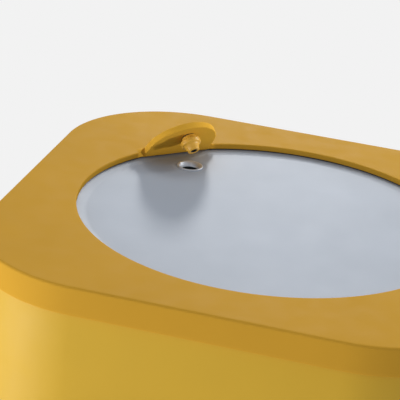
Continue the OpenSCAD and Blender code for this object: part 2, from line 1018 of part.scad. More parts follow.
module valve_body() {
    color(BRASS)
        translate([0, 0, button_z])
            difference() {
                union() {
                    along_y([0, valve_y, 0], valve_front_t + chamber_l, valve_body_r);
                    along_x([-valve_body_r - port_l, port_y, 0], valve_body_r, port_r);
                    along_x([-valve_body_r - port_l - barb_l, port_y, 0], barb_l + 1, barb_r);
                    along_z([0, port_y, -valve_body_r - port_l], valve_body_r, port_r);
                    along_z([0, port_y, -valve_body_r - port_l - barb_l], barb_l + 1, barb_r);
                }
                along_y([0, valve_y - 1, 0], valve_front_t + 2, push_stem_r + slip);
                along_y([0, valve_y + valve_front_t, 0], chamber_l + 1, chamber_r);
                along_x([-60, port_y, 0], 60, barb_bore_r);
                along_z([0, port_y, -60], 60, barb_bore_r);
                for (x = [-1, 1])
                    along_y([x * valve_screw_at, valve_y - 1, 0], 9, 2);
            }
}

module valve_cap() {
    color(BRASS)
        translate([0, valve_y + valve_front_t + chamber_l, button_z])
            difference() {
                union() {
                    along_y([0, 0, 0], valve_cap_t, valve_body_r);
                    along_y([0, -4, 0], 5, chamber_r - slip);
                }
                for (z = [-1, 1])
                    along_y([0, valve_cap_t - 3, z * 10], 4, 2);
            }
}

module valve_screws() {
    color(ZINC)
        for (x = [-1, 1])
            translate([x * valve_screw_at, housing_y, button_z]) {
                along_y([0, -3, 0], 3, 2.7);
                along_y([0, -1, 0], 11, 1.95);
            }
}

module push_button() {
    color(STEEL)
        translate([0, front_y - button_proud, button_z])
            rotate([-90, 0, 0])
                rotate_extrude()
                    polygon([
                        [0, 0.6],
                        [button_r - 5, 0.6],
                        [button_r - 4, 0],
                        [button_r - 1, 0],
                        [button_r, 1],
                        [button_r, button_t],
                        [0, button_t]
                    ]);
}

module button_stem() {
    start = front_y - button_proud + button_t;
    color(STEEL)
        along_y([0, start, button_z], poppet_y - start, push_stem_r);
}

module valve_poppet() {
    color(BLACK)
        along_y([0, poppet_y, button_z], poppet_t, poppet_r);
}

// Coil spring round the button's stem, swept as rings along a helix
module button_spring() {
    l = housing_y - spring_y0 - 2 * spring_wire;
    n = spring_turns * spring_steps;
    sides = 6;
    points = [
        for (i = [0:n], j = [0:sides - 1])
            let (a = 360 * i / spring_steps, b = 360 * j / sides, r = spring_r + spring_wire * cos(b))
                [r * cos(a), r * sin(a), l * i / n + spring_wire * sin(b)]
    ];
    faces = concat(
        [[for (j = [0:sides - 1]) j]],
        [for (i = [0:n - 1], j = [0:sides - 1])
            let (k = (j + 1) % sides)
                [i * sides + j, (i + 1) * sides + j, (i + 1) * sides + k, i * sides + k]],
        [[for (j = [0:sides - 1]) n * sides + sides - 1 - j]]
    );
    color(STEEL)
        translate([0, spring_y0 + spring_wire, button_z])
            rotate([-90, 0, 0])
                polyhedron(points, faces);
}

// ---- Service door ----

module hinge_pins() {
    color(STEEL)
        for (z = [door_z - 4, door_z + door_h + 4 - hinge_pin_l - ear_gap])
            along_z([hinge_x, wall_in_y, z], hinge_pin_l + ear_gap, hinge_pin_r);
}

module door_seal() {
    half = door_w / 2;
    y = wall_in_y - 1;
    color(BLACK) {
        for (z = [door_z, door_z + door_h - stop_cover])
            translate([-half + 18, y, z])
                cube([door_w - 18, seal_t, stop_cover]);
        translate([half - stop_cover, y, door_z])
            cube([stop_cover, seal_t, door_h]);
    }
}

module door_leaf() {
    half = door_w / 2;
    tube_z = door_z + ear_h + ear_gap;
    tube_h = door_h - 2 * ear_h - 2 * ear_gap;
    color(YELLOW)
        difference() {
            union() {
                translate([hinge_x + door_notch, wall_in_y, door_z + door_gap])
                    cube([half - door_gap - hinge_x - door_notch, body_wall, door_h - 2 * door_gap]);
                translate([hinge_x, wall_in_y, tube_z])
                    cube([door_notch + 1, body_wall, tube_h]);
                along_z([hinge_x, wall_in_y, tube_z], tube_h, door_hinge_r);
            }
            for (z = [tube_z - 1, tube_z + tube_h - 11])
                along_z([hinge_x, wall_in_y, z], 12, hinge_pin_r + slip);
            along_y([lock_x, wall_in_y - 1, lock_z], body_wall + 2, lock_r + thread_gap);
        }
}

module lock_housing() {
    color(ZINC)
        difference() {
            union() {
                along_y([lock_x, lock_back_y, lock_z], back_y - lock_back_y, lock_r);
                along_y([lock_x, back_y, lock_z], lock_flange_t, lock_flange_r);
            }
            along_y([lock_x, lock_back_y - 1, lock_z], 20, core_r + slip);
        }
}

module lock_nut() {
    color(ZINC)
        translate([lock_x, wall_in_y - 4, lock_z])
            rotate([-90, 0, 0])
                hex_nut(4, 13, lock_r + slip);
}

module lock_core() {
    color(STEEL)
        difference() {
            along_y([lock_x, lock_back_y, lock_z], back_y - lock_back_y + 1, core_r);
            translate([lock_x - 0.8, back_y - 4, lock_z - 4])
                cube([1.6, 10, 8]);
            along_y([lock_x, lock_back_y - 1, lock_z], 5.5, 1.5);
        }
}

module lock_cam() {
    color(ZINC)
        difference() {
            union() {
                along_y([lock_x, lock_back_y - cam_t, lock_z], cam_t, 8);
                translate([lock_x - 6, lock_back_y - cam_t, lock_z])
                    cube([12, cam_t, cam_l]);
            }
            along_y([lock_x, lock_back_y - cam_t - 1, lock_z], cam_t + 2, 1.6);
        }
}

module cam_screw() {
    color(STEEL) {
        along_y([lock_x, lock_back_y - cam_t - 2, lock_z], 2, 3);
        along_y([lock_x, lock_back_y - cam_t - eps, lock_z], cam_t + 4, 1.45);
    }
}

top_lid();
lid_screws();
bowl();
bowl_gasket();
bowl_studs();
bowl_clamps();
bowl_nuts();
spout_nozzle();
nozzle_seal();
spout_adapter();
spout_hose();
drain_fitting();
drain_gasket();
drain_nut();
waste_pipe();
trap_nut();
trap_body();
trap_cup();
waste_outlet();
waste_clips();
outlet_coupling();
column_shell();
base_plate();
service_plate();
plate_bolts();
hinge_pins();
door_seal();
inlet_nipple();
shutoff_body();
strainer_body();
strainer_screen();
strainer_cap();
supply_hose();
supply_clips();
clip_screws();
hose_clamps();
button_housing();
housing_nut();
valve_body();
valve_screws();
valve_cap();
push_button();
button_stem();
valve_poppet();
button_spring();
door_leaf();
lock_housing();
lock_nut();
lock_core();
lock_cam();
cam_screw();
shutoff_ball();
shutoff_stem();
shutoff_handle();
handle_grip();
handle_nut();
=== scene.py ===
"""Looks of the pedestal drinking fountain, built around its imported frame. Lengths are in metres."""
import json
import math

import bpy
import bmesh
from mathutils import Matrix, Vector
from mathutils.geometry import delaunay_2d_cdt


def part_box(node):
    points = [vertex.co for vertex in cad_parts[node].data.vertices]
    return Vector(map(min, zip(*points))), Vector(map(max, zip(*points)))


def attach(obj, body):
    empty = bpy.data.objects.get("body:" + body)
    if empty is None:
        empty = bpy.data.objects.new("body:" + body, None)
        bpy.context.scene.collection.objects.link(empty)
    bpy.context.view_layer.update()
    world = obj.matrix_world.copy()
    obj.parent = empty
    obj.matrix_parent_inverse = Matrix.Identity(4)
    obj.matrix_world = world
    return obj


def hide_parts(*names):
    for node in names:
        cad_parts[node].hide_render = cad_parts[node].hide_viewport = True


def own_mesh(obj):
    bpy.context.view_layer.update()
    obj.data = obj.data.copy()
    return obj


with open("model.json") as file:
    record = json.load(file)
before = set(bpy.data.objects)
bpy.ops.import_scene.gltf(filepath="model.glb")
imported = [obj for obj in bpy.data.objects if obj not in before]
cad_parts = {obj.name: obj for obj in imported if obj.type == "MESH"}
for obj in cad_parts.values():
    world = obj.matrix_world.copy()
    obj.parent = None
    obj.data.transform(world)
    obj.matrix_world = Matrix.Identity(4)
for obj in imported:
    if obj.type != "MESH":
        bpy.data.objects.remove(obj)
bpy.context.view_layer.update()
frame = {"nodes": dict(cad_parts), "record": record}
NODES = frame["nodes"]

MM = 0.001
SLOT_OF = {part["node"]: part["material_slot"] for part in frame["record"]["subparts"]}

# ---- Sizes that the frame's boxes give ----

lid_low, lid_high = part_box("top_lid")
gasket_low, gasket_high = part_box("bowl_gasket")
LID_HALF = lid_high.x
SKIRT_H = 22 * MM
SKIRT_Z = lid_low.z
LID_Z = SKIRT_Z + SKIRT_H
PLATE_Z = gasket_high.z
OPENING_R = gasket_high.x - 4.5 * MM

# ---- Sizes that repeat the construction ----

LID_CORNER_R = 99 * MM
SKIRT_T = 5 * MM
HOOD_W = 62 * MM
HOOD_L = 43 * MM
HOOD_T = 5.5 * MM
LEAN = math.radians(50.5)
RAMP_R = 12 * MM
CHORD_HALF = HOOD_W / 2 + 1 * MM
HOOD_ROOT = math.sqrt(OPENING_R ** 2 - CHORD_HALF ** 2)
NOZZLE_AT = 27.5 * MM
BOWL_TOP = gasket_low.z
BOWL_T = 1.5 * MM
BOWL_R = OPENING_R + 2 * MM
BOWL_FLANGE_W = 18 * MM
FLOOR_Z = BOWL_TOP - 0.9 * MM
FLOOR_TILT = math.atan(1.2 / 300)
DRAIN_AT = 122 * MM
DRAIN_STEM_R = 8.8 * MM
BUTTON_Z = LID_Z - 120 * MM
SPRING_WIRE = 0.6 * MM
SPRING_TURNS = 5

# Grey of the floor and the background as the camera sees them
BACKDROP = 0.888

# Plan directions at the spout: AWAY points from the middle to the spout, ACROSS runs along its root
SPOUT = math.radians(135)
AWAY = Vector((math.cos(SPOUT), math.sin(SPOUT), 0))
ACROSS = Vector((math.sin(SPOUT), -math.cos(SPOUT), 0))
UP = Vector((0, 0, 1))
HOOD_X = -AWAY * math.cos(LEAN) + UP * math.sin(LEAN)
HOOD_N = AWAY * math.sin(LEAN) + UP * math.cos(LEAN)
HOOD_ORIGIN = AWAY * HOOD_ROOT + UP * PLATE_Z


def on_hood(x, y, z):
    """A point in the hood's frame: x up along it, y across it, z out of its back."""
    return HOOD_ORIGIN + HOOD_X * x + ACROSS * y + HOOD_N * z


# ---- Camera and lights ----

def camera():
    """The photograph's viewing angle: a long lens, from the front and above."""
    scene = bpy.context.scene
    data = bpy.data.cameras.new("camera")
    data.sensor_width = 36
    data.lens = 166.1
    obj = bpy.data.objects.new("camera", data)
    right = Vector((0.9624, 0.2549, 0.0944)).normalized()
    up = Vector((-0.1817, 0.3453, 0.9208))
    back = right.cross(up).normalized()
    obj.matrix_world = axes(Vector((0.2386, -1.3143, LID_Z + 0.5516)), right, back.cross(right), back)
    scene.collection.objects.link(obj)
    scene.camera = obj


def axes(origin, x, y, z):
    """The matrix of a frame with the given origin and directions."""
    place = Matrix((x, y, z)).transposed().to_4x4()
    place.translation = origin
    return place


def lamp(name, place, size, power, colour=(1, 1, 1)):
    """A soft box of a given width and height that faces the middle of the lid."""
    light = bpy.data.lights.new(name, "AREA")
    light.shape = "RECTANGLE"
    light.size = size[0]
    light.size_y = size[1]
    light.energy = power
    light.color = colour
    obj = bpy.data.objects.new(name, light)
    obj.location = place
    aim = Vector((0, 0, LID_Z)) - Vector(place)
    obj.rotation_euler = aim.to_track_quat("-Z", "Y").to_euler()
    bpy.context.scene.collection.objects.link(obj)
    return obj


def sky():
    """Even soft light, with the floor's own pale tone where the camera looks past the floor."""
    world = bpy.data.worlds.new("world")
    world.use_nodes = True
    tree = world.node_tree
    soft = tree.nodes["Background"]
    soft.inputs["Color"].default_value = (0.93, 0.95, 1.0, 1)
    soft.inputs["Strength"].default_value = 0.5
    seen = tree.nodes.new("ShaderNodeBackground")
    seen.inputs["Color"].default_value = (BACKDROP, BACKDROP, BACKDROP, 1)
    path = tree.nodes.new("ShaderNodeLightPath")
    both = tree.nodes.new("ShaderNodeMixShader")
    tree.links.new(path.outputs["Is Camera Ray"], both.inputs[0])
    tree.links.new(soft.outputs[0], both.inputs[1])
    tree.links.new(seen.outputs[0], both.inputs[2])
    tree.links.new(both.outputs[0], tree.nodes["World Output"].inputs["Surface"])
    bpy.context.scene.world = world


def lights():
    """Soft boxes high behind, at the left, at the right and in front, and the sky."""
    lamp("high_lamp", (-0.6, 3.0, LID_Z + 4.2), (1.8, 1.8), 41)
    lamp("left_lamp", (-0.85, -0.6, LID_Z - 0.2), (0.6, 0.6), 6.5)
    lamp("right_lamp", (1.3, 1.5, LID_Z + 1.4), (0.6, 0.6), 15)
    lamp("front_lamp", (-0.5, -2.2, LID_Z + 0.2), (1.2, 1.2), 3, (1, 0.85, 0.7))
    sky()
    bpy.context.scene.view_settings.view_transform = "Standard"


# ---- Materials ----

class Tree:
    """Adds shader nodes to one material and links them."""

    def __init__(self, name):
        self.material = bpy.data.materials.new(name)
        self.material.use_nodes = True
        self.tree = self.material.node_tree
        self.shader = self.tree.nodes["Principled BSDF"]

    def add(self, kind, values=None, **settings):
        """A node with its settings, and with each input linked to a socket or set to a value."""
        node = self.tree.nodes.new(kind)
        for key, value in settings.items():
            setattr(node, key, value)
        for socket, value in (values or {}).items():
            if isinstance(value, bpy.types.NodeSocket):
                self.tree.links.new(value, node.inputs[socket])
            else:
                node.inputs[socket].default_value = value
        return node

    def set(self, socket, value):
        """Links or sets an input of the surface shader."""
        if isinstance(value, bpy.types.NodeSocket):
            self.tree.links.new(value, self.shader.inputs[socket])
        else:
            self.shader.inputs[socket].default_value = value

    def noise(self, scale, detail=2.0, rough=0.5, stretch=(1, 1, 1)):
        """Noise over the object's own metres. The scale is in features per metre."""
        coords = self.add("ShaderNodeTexCoord").outputs["Object"]
        mapping = self.add("ShaderNodeMapping", {"Vector": coords, "Scale": stretch})
        values = {"Vector": mapping.outputs[0], "Scale": scale, "Detail": detail, "Roughness": rough}
        return self.add("ShaderNodeTexNoise", values).outputs["Fac"]

    def spread(self, value, low, high, start=0.3, end=0.7):
        """Maps start..end, by default the middle of a noise's range, to low..high."""
        values = {"Value": value, "From Min": start, "From Max": end, "To Min": low, "To Max": high}
        return self.add("ShaderNodeMapRange", values).outputs[0]

    def mix(self, factor, first, second):
        """Mixes two colours, each one a socket or an (r, g, b). Sockets 6 and 7 are the node's colours."""
        colours = [c if isinstance(c, bpy.types.NodeSocket) else (*c, 1) for c in (first, second)]
        values = {0: factor, 6: colours[0], 7: colours[1]}
        return self.add("ShaderNodeMix", values, data_type="RGBA").outputs[2]

    def total(self, first, second):
        return self.add("ShaderNodeMath", {0: first, 1: second}, operation="ADD").outputs[0]

    def bump(self, height, distance):
        values = {"Height": height, "Distance": distance, "Strength": 1.0}
        return self.add("ShaderNodeBump", values).outputs[0]


def scaled(colour, factor):
    return tuple(min(1.0, c * factor) for c in colour)


def coat(name, colour, rough, specular, wear=0.35):
    """Powder coat: fine orange peel, faint clouding, and edges rubbed lighter on a fine mesh."""
    tree = Tree(name)
    cloud = tree.noise(9, 3)
    base = tree.mix(tree.spread(cloud, 0, 1), scaled(colour, 0.965), scaled(colour, 1.03))
    if wear:
        edge = tree.add("ShaderNodeNewGeometry").outputs["Pointiness"]
        rubbed = tree.spread(edge, 0, wear, 0.52, 0.6)
        base = tree.mix(rubbed, base, scaled(colour, 1.45))
    tree.set("Base Color", base)
    tree.set("Roughness", tree.spread(tree.noise(60, 4), rough - 0.05, rough + 0.06))
    tree.set("Specular IOR Level", specular)
    peel = tree.noise(750, 2)
    speck = tree.noise(3200, 1)
    tree.set("Normal", tree.bump(tree.total(peel, speck), 0.03 * MM))
    return tree.material


def steel(name, colour, rough, stretch=(1, 1, 1), grain=900, depth=0.01 * MM, metal=1.0, gloss=0.5):
    """Metal with a rolled or blasted grain, clouded roughness and faint marks."""
    tree = Tree(name)
    lines = tree.noise(grain, 3, 0.6, stretch)
    cloud = tree.noise(14, 4)
    low = scaled(colour, 0.97)
    tree.set("Base Color", tree.mix(tree.spread(cloud, 0, 1), low, scaled(colour, 1.02)))
    tree.set("Metallic", metal)
    tree.set("Specular IOR Level", gloss)
    grainy = tree.spread(lines, rough - 0.05, rough + 0.05)
    marks = tree.spread(tree.noise(55, 5, 0.65), -0.015, 0.02)
    tree.set("Roughness", tree.total(grainy, marks))
    tree.set("Normal", tree.bump(lines, depth))
    return tree.material


def moulded(name, colour, rough, grain=1400, depth=0.02 * MM):
    """Rubber or plastic: a fine matte texture with faint dust in it."""
    tree = Tree(name)
    dust = tree.spread(tree.noise(30, 5, 0.6), 0, 0.35)
    tree.set("Base Color", tree.mix(dust, colour, scaled(tuple(c + 0.04 for c in colour), 1.2)))
    tree.set("Roughness", tree.spread(tree.noise(120, 3), rough - 0.06, rough + 0.06))
    tree.set("Normal", tree.bump(tree.noise(grain, 2), depth))
    return tree.material


YELLOW = (0.60, 0.325, 0.034)
EVEN = (1, 1, 1)
MATERIALS = {
    "yellow_coating": coat("column_coat", (0.63, 0.385, 0.026), 0.5, 0.3, 0),
    "grey_coating": coat("base_coat", (0.17, 0.175, 0.18), 0.55, 0.4, 0),
    "stainless": steel("bright_steel", (0.68, 0.69, 0.70), 0.26, (1, 1, 12)),
    "zinc_steel": steel("zinc_plate", (0.60, 0.61, 0.63), 0.42, (3, 1, 3), 500),
    "brass": steel("brass", (0.72, 0.55, 0.27), 0.34, (1, 1, 6), 700),
    "seal_rubber": moulded("seal_rubber", (0.022, 0.022, 0.024), 0.62),
    "hose_rubber": moulded("hose_rubber", (0.03, 0.03, 0.033), 0.5, 900),
    "white_plastic": moulded("white_plastic", (0.72, 0.72, 0.69), 0.4),
    "red_plastic": moulded("red_plastic", (0.45, 0.03, 0.02), 0.42),
}
# The lid's coat is a darker, more orange copy of the column's yellow: painted shade for the lid's skirt,
# which lies darker than the column beneath it.
SHADED_LID_COAT = coat("lid_coat_painted_shade", YELLOW, 0.6, 0.01)
NOZZLE_COAT = coat("nozzle_coat", YELLOW, 0.42, 0.4)
BOWL_STEEL = steel("bowl_steel", (0.38, 0.417, 0.47), 0.6, EVEN, 1500, 0.008 * MM, 0.08, 0.12)
# Near-black steel for the insides of the nozzle's and the drain's bores: painted shade, standing in for
# the dark of those deep holes.
PAINTED_BORE_SHADE = steel("painted_bore_shade", (0.02, 0.025, 0.03), 0.6, EVEN, 800, metal=0.2)
DRAIN_STEEL = steel("drain_steel", (0.66, 0.70, 0.76), 0.42, EVEN, 800, metal=0.6)


# ---- Mesh helpers ----

def add_piece(name, verts, faces, material, body="column", stands_for=(), sharp=35):
    """One object from points in metres, welded, smooth up to the given angle, riding on a body."""
    mesh = bpy.data.meshes.new(name)
    mesh.from_pydata([tuple(v) for v in verts], [], faces)
    work = bmesh.new()
    work.from_mesh(mesh)
    bmesh.ops.delete(work, geom=[v for v in work.verts if not v.link_faces], context="VERTS")
    bmesh.ops.remove_doubles(work, verts=work.verts, dist=0.01 * MM)
    bmesh.ops.dissolve_degenerate(work, edges=work.edges, dist=0.005 * MM)
    bmesh.ops.recalc_face_normals(work, faces=work.faces)
    work.to_mesh(mesh)
    work.free()
    mesh.shade_smooth()
    mesh.set_sharp_from_angle(angle=math.radians(sharp))
    mesh.materials.append(material)
    obj = bpy.data.objects.new(name, mesh)
    bpy.context.scene.collection.objects.link(obj)
    level = obj.modifiers.new("flat_faces_lead", "WEIGHTED_NORMAL")
    level.keep_sharp = True
    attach(obj, body)
    if stands_for:
        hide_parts(*stands_for)
    return obj


class Shell:
    """Collects points and faces for one piece."""

    def __init__(self):
        self.verts = []
        self.faces = []

    def add(self, verts, faces):
        start = len(self.verts)
        self.verts += [Vector(v) for v in verts]
        self.faces += [tuple(start + i for i in face) for face in faces]

    def strips(self, rows):
        """Quads between closed rows of points, each row with as many points."""
        n = len(rows[0])
        verts = [p for row in rows for p in row]
        faces = []
        for r in range(len(rows) - 1):
            for i in range(n):
                j = (i + 1) % n
                faces.append((r * n + i, r * n + j, (r + 1) * n + j, (r + 1) * n + i))
        self.add(verts, faces)


def inside(point, loop):
    """Whether a point of the plan lies inside a closed loop."""
    x, y = point
    odd = False
    for (x0, y0), (x1, y1) in zip(loop, loop[1:] + loop[:1]):
        if (y0 > y) != (y1 > y) and x < (x1 - x0) * (y - y0) / (y1 - y0) + x0:
            odd = not odd
    return odd


def plan_fill(outer, holes, points, height):
    """Triangles over the plan between closed loops of 3-D points, with more points at a given height."""
    fixed = [p for loop in [outer] + holes for p in loop]
    coords = [Vector((p[0], p[1])) for p in fixed] + [Vector(p[:2]) for p in points]
    level = [p[2] for p in fixed] + [height(*p[:2]) for p in points]
    edges = []
    start = 0
    for loop in [outer] + holes:
        n = len(loop)
        edges += [(start + i, start + (i + 1) % n) for i in range(n)]
        start += n
    found, _, faces, origin, _, _ = delaunay_2d_cdt(coords, edges, [], 0, 0.0000001)
    verts = []
    for point, ids in zip(found, origin):
        z = level[ids[0]] if ids else height(point.x, point.y)
        verts.append(Vector((point.x, point.y, z)))
    rim = [(p[0], p[1]) for p in outer]
    gaps = [[(p[0], p[1]) for p in loop] for loop in holes]
    kept = []
    for face in faces:
        middle = sum((found[i] for i in face), Vector((0, 0))) / len(face)
        if inside(middle, rim) and not any(inside(middle, gap) for gap in gaps):
            kept.append(tuple(face))
    return verts, kept


def rounded_square(half, radius, z, corner=24, side=16):
    """A closed anticlockwise loop: a square with round corners, with steps for each corner and side."""
    points = []
    for quarter in range(4):
        centre_x = (half - radius) * (1 if quarter in (0, 3) else -1)
        centre_y = (half - radius) * (1 if quarter in (0, 1) else -1)
        for step in range(corner + 1):
            a = math.pi / 2 * (quarter + step / corner)
            points.append(Vector((centre_x + radius * math.cos(a), centre_y + radius * math.sin(a), z)))
        turn = math.pi / 2 * (quarter + 1)
        along = Vector((-math.sin(turn), math.cos(turn), 0)) * 2 * (half - radius)
        start = points[-1]
        points += [start + along * i / side for i in range(1, side)]
    return points


def circle(radius, z, steps, centre=(0, 0)):
    """A level ring of points about a centre in the plan."""
    return [
        Vector((centre[0] + radius * math.cos(a), centre[1] + radius * math.sin(a), z))
        for a in (2 * math.pi * i / steps for i in range(steps))
    ]


def lathe(profile, place, steps=64):
    """Turns (radius, height) pairs round the Z axis of the matrix place."""
    shell = Shell()
    rows = []
    smallest = 0.001 * MM
    for radius, z in profile:
        ring = circle(max(radius, smallest), z, steps)
        rows.append([place @ p for p in ring])
    shell.strips(rows)
    return shell


def arc(centre, radius, start, end, steps=5):
    """(radius, height) pairs along an arc in degrees, for lathe profiles."""
    out = []
    for i in range(steps + 1):
        a = math.radians(start + (end - start) * i / steps)
        out.append((centre[0] + radius * math.cos(a), centre[1] + radius * math.sin(a)))
    return out


# ---- Lid with its spout hood ----

LID_T = LID_Z - PLATE_Z
RAMP_FOOT = HOOD_T / math.sin(LEAN) - LID_T / math.tan(LEAN)
RAMP_REACH = RAMP_R / math.tan((math.pi - LEAN) / 2)
FLARE = 5 * MM
RIM_ROUND = 1.1 * MM
UNDER_ROUND = 0.8 * MM
TOP_ROUND = 2 * MM
ROUND_STEPS = 4


def fade(value):
    """A smooth step from 0 to 1."""
    value = min(1.0, max(0.0, value))
    return value * value * (3 - 2 * value)


def lid_height(x, y):
    """Top face of the lid: flat, with the hollow ramp and the hood's back over the chord."""
    out = x * AWAY.x + y * AWAY.y - HOOD_ROOT
    side = abs(x * ACROSS.x + y * ACROSS.y)
    if out > RAMP_FOOT + RAMP_REACH or out < -HOOD_L:
        return LID_Z
    if out > RAMP_FOOT - RAMP_REACH * math.cos(LEAN):
        rise = RAMP_R - math.sqrt(max(0.0, RAMP_R ** 2 - (RAMP_FOOT + RAMP_REACH - out) ** 2))
    else:
        rise = math.tan(LEAN) * (RAMP_FOOT - out)
    return LID_Z + rise * fade((HOOD_W / 2 + FLARE - side) / FLARE)


class Edge:
    """A point of the opening's edge: top corner, bottom corner and the ways into both faces."""

    def __init__(self, top, bottom, into_top, down, into_under, hood=False):
        self.top = top
        self.bottom = bottom
        self.a = into_top.normalized()
        self.b = down.normalized()
        self.c = into_under.normalized()
        self.hood = hood

    def rim(self, turn):
        """A point of the top rounding: turn 0 is on the top face, a quarter turn on the wall."""
        s, c = math.sin(turn), math.cos(turn)
        return self.top + (self.a * (1 - s) + self.b * (1 - c)) * RIM_ROUND

    def under(self, turn):
        """A point of the bottom rounding: turn 0 is on the wall, a quarter turn on the underside."""
        s, c = math.sin(turn), math.cos(turn)
        return self.bottom + (-self.b * (1 - s) + self.c * (1 - c)) * UNDER_ROUND


def plate_edge(point, way):
    """An edge point where the wall is upright; way points into the plate."""
    here = lid_height(point.x, point.y)
    ahead = point + way * MM
    slope = lid_height(ahead.x, ahead.y) - here
    top = Vector((point.x, point.y, here))
    bottom = Vector((point.x, point.y, PLATE_Z))
    return Edge(top, bottom, way * MM + UP * slope, -UP, way)


def hood_corner(side):
    """The edge point where the hood's side rises from the plate."""
    place = AWAY * HOOD_ROOT + ACROSS * (side * HOOD_W / 2)
    edge = plate_edge(place, (AWAY - ACROSS * side).normalized())
    edge.b = (-UP * 0.6 - HOOD_N * 0.4).normalized()
    edge.c = -ACROSS * side
    edge.hood = True
    return edge


def hood_edges(end_steps=48, side_steps=4):
    """The hood's edge: up one side, round its end and down the other side."""
    first_x = HOOD_T * math.tan(LEAN) + 0.3 * MM
    straight = HOOD_L - HOOD_W / 2
    end = HOOD_W / 2
    up = [first_x + (straight - first_x) * i / side_steps for i in range(side_steps)]
    outline = [(x, end, 90) for x in up]
    for i in range(end_steps + 1):
        a = math.radians(90 - 180 * i / end_steps)
        outline.append((straight + end * math.cos(a), end * math.sin(a), math.degrees(a)))
    outline += [(x, -end, -90) for x in reversed(up)]
    edges = []
    for x, y, a in outline:
        turn = math.radians(a)
        way = -HOOD_X * math.cos(turn) - ACROSS * math.sin(turn)
        edges.append(Edge(on_hood(x, y, HOOD_T), on_hood(x, y, 0), way, -HOOD_N, way, True))
    return edges


def opening_edges(near_steps=10, round_steps=190):
    """The opening's edge, with closer points beside the hood, and then the hood's own edge."""
    half = math.asin(CHORD_HALF / OPENING_R)
    near = math.radians(4)
    rest = 2 * math.pi - 2 * half - 2 * near
    turns = [half + near * i / near_steps for i in range(near_steps)]
    turns += [half + near + rest * i / round_steps for i in range(round_steps + 1)]
    turns += [2 * math.pi - half - near + near * i / near_steps for i in range(1, near_steps + 1)]
    edges = []
    for turn in turns:
        way = Vector((math.cos(SPOUT + turn), math.sin(SPOUT + turn), 0))
        edges.append(plate_edge(way * OPENING_R, way))
    return edges + [hood_corner(1)] + hood_edges() + [hood_corner(-1)]


def square_ray(turn, half, radius, z):
    """Where a ray from the middle meets a rounded square."""
    c, s = math.cos(turn), math.sin(turn)
    reach = half / max(abs(c), abs(s))
    core = half - radius
    if abs(reach * c) > core and abs(reach * s) > core:
        along = core * (abs(c) + abs(s))
        reach = along + math.sqrt(along * along - 2 * core * core + radius * radius)
    return Vector((reach * c, reach * s, z))


def add_skirt(shell, turns):
    """The outer skirt, from the top face down and round to the inside. Gives the top face's outline."""
    rows = []
    for turn in turns:
        inset = TOP_ROUND * (1 - math.sin(turn))
        drop = TOP_ROUND * (1 - math.cos(turn))
        rows.append(rounded_square(LID_HALF - inset, LID_CORNER_R - inset, LID_Z - drop))
    for inset, z in ((0, SKIRT_Z + 3 * MM), (0, SKIRT_Z + 0.8 * MM), (0.25 * MM, SKIRT_Z + 0.2 * MM),
                     (0.9 * MM, SKIRT_Z), (SKIRT_T, SKIRT_Z), (SKIRT_T, PLATE_Z)):
        rows.append(rounded_square(LID_HALF - inset, LID_CORNER_R - inset, z))
    shell.strips(rows)
    return rows[0]


def add_top_face(shell, edges, outer):
    """The top face, with more points by its edges and on the ramp."""
    rim = [edge.rim(0) for edge in edges]
    points = [edge.rim(0) + edge.a * 1.5 * MM for edge in edges]
    inset = TOP_ROUND + 2 * MM
    points += rounded_square(LID_HALF - inset, LID_CORNER_R - inset, LID_Z)
    gap = [(p.x, p.y) for p in rim]
    clear = 0.8 * MM
    for i in range(-38, 39):
        for j in range(-3, 15):
            p = AWAY * (HOOD_ROOT + j * MM) + ACROSS * (i * 0.98 * MM)
            nearest = min((p.x - x) ** 2 + (p.y - y) ** 2 for x, y in gap)
            if nearest > clear ** 2 and not inside((p.x, p.y), gap):
                points.append(p)
    shell.add(*plan_fill(outer, [rim], points, lid_height))


def add_undersides(shell, edges):
    """The flat underside of the hood, and that of the plate out to the skirt."""
    hood_rim = [edge.under(math.pi / 2) for edge in edges if edge.hood]
    middle = sum(hood_rim, Vector((0, 0, 0))) / len(hood_rim)
    inner = [p + (middle - p).normalized() * 1.2 * MM for p in hood_rim]
    shell.strips([hood_rim, inner])
    shell.add(inner, [tuple(range(len(inner)))])
    under = [edge.under(math.pi / 2) for edge in edges if not edge.hood]
    border = []
    for p in under:
        turn = math.atan2(p.y, p.x)
        border.append(square_ray(turn, LID_HALF - SKIRT_T, LID_CORNER_R - SKIRT_T, PLATE_Z))
    shell.strips([under, border])


def lid_shell():
    """The whole lid: skirt, top face, rounded rim, undersides, and the boss for the water adapter."""
    shell = Shell()
    edges = opening_edges()
    turns = [math.pi / 2 * i / ROUND_STEPS for i in range(ROUND_STEPS + 1)]
    outer = add_skirt(shell, turns)
    add_top_face(shell, edges, outer)
    rows = [[edge.rim(turn) for edge in edges] for turn in turns]
    rows += [[edge.under(turn) for edge in edges] for turn in turns]
    shell.strips(rows)
    add_undersides(shell, edges)
    place = Matrix.Translation(AWAY * (OPENING_R + 14 * MM))
    profile = [(9 * MM, PLATE_Z), (9 * MM, SKIRT_Z), (5 * MM, SKIRT_Z), (5 * MM, PLATE_Z)]
    boss = lathe(profile, place, 40)
    shell.add(boss.verts, boss.faces)
    return shell


def near_hood(middle):
    """Whether a face belongs to the hood, its ramp, or the narrower strip of plate behind them."""
    out = middle.dot(AWAY) - HOOD_ROOT
    side = abs(middle.dot(ACROSS))
    hood_tip, strip_end = -60 * MM, 75 * MM
    if out > RAMP_FOOT + RAMP_REACH + 1.5 * MM:
        return out < strip_end and side < HOOD_W / 2 - 2 * MM
    return out > hood_tip and side < HOOD_W / 2 + FLARE + 1 * MM


def make_lid():
    """Two pieces: the plate with its skirt, and the hood with the strip of plate behind it."""
    shell = lid_shell()
    plate, hood = [], []
    for face in shell.faces:
        middle = sum((shell.verts[i] for i in face), Vector((0, 0, 0))) / len(face)
        (hood if near_hood(middle) else plate).append(face)
    lid = add_piece("lid", shell.verts, plate, SHADED_LID_COAT, stands_for=("top_lid",))
    tongue = add_piece("spout_hood", shell.verts, hood, SHADED_LID_COAT)
    return lid, tongue


